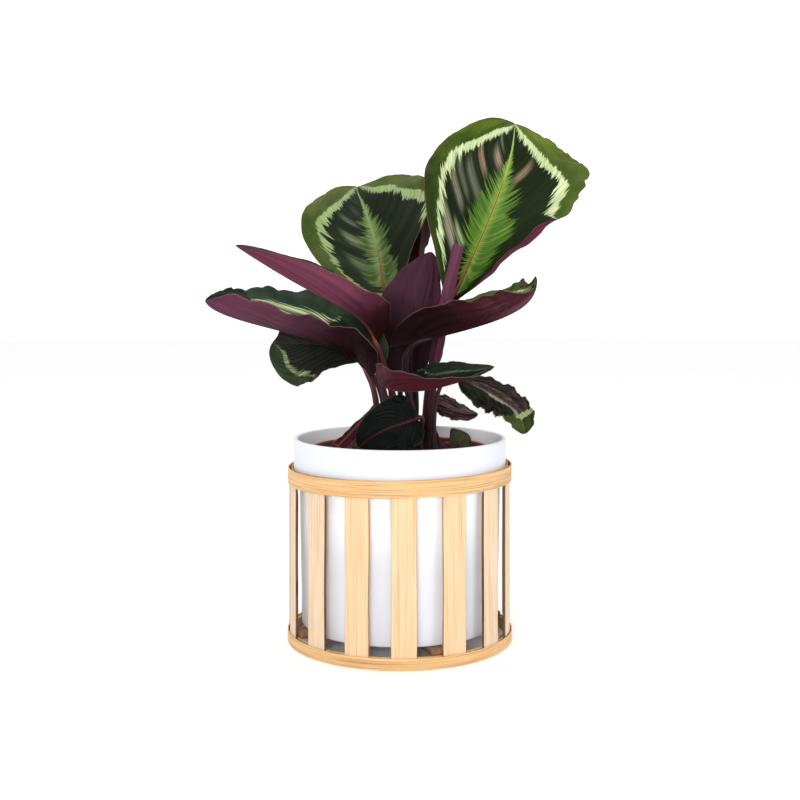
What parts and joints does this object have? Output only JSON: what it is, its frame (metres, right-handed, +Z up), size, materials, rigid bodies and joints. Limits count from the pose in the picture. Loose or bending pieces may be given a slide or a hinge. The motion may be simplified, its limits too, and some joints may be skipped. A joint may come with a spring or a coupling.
{
  "type": "potted medallion calathea",
  "caption": "Prayer plant with broad patterned leaves, maroon below, growing in a liner pot inside a round white planter that stands in a slatted bamboo ring.",
  "frame": {"origin": "on the floor, in the middle of the part's box; the upright axis of the planter and its stand is 3.5 mm to the left of it, at x = -0.0035 m", "axes": "+Z up, -Y towards the side that the picture shows, +X to the right of that side"},
  "size_m": [0.2799, 0.1704, 0.3989],
  "materials": {
    "glaze": "satin white glaze",
    "liner": "terracotta coloured plastic",
    "soil": "moist potting mix with coir",
    "bamboo_slat": "planed bamboo, clear matt varnish",
    "bamboo_hoop": "bent bamboo, clear satin varnish",
    "leaf_green": "glossy green leaf with a pale ring, maroon below",
    "leaf_maroon": "maroon underside of a leaf, satin",
    "leaf_dry": "dried brown leaf with green remains, matt"
  },
  "bodies": {
    "root": {"pot": "glaze", "nursery_pot": "liner", "soil": "soil", "hoop_top_outer": "bamboo_hoop", "hoop_top_inner": "bamboo_hoop", "hoop_bottom_outer": "bamboo_hoop", "hoop_bottom_inner": "bamboo_hoop", "slat_01": "bamboo_slat", "slat_02": "bamboo_slat", "slat_03": "bamboo_slat", "slat_04": "bamboo_slat", "slat_05": "bamboo_slat", "slat_06": "bamboo_slat", "slat_07": "bamboo_slat", "slat_08": "bamboo_slat", "slat_09": "bamboo_slat", "slat_10": "bamboo_slat", "slat_11": "bamboo_slat", "slat_12": "bamboo_slat", "slat_13": "bamboo_slat", "slat_14": "bamboo_slat", "slat_15": "bamboo_slat", "base_strip_low": "bamboo_slat", "base_strip_high": "bamboo_slat", "leaf_tall_right": "leaf_green", "leaf_tall_left": "leaf_green", "leaf_folded_left_high": "leaf_maroon", "leaf_folded_left_low": "leaf_maroon", "leaf_low_left": "leaf_green", "leaf_upright_middle": "leaf_maroon", "leaf_rolled_young": "leaf_maroon", "leaf_raised_right": "leaf_maroon", "leaf_low_front": "leaf_maroon", "leaf_dried_right": "leaf_dry", "leaf_small_brown": "leaf_dry", "leaf_base_dark": "leaf_green", "leaf_base_left": "leaf_maroon", "leaf_base_olive": "leaf_green", "leaf_upright_back": "leaf_maroon", "leaf_spear": "leaf_maroon"}
  },
  "joints": []
}
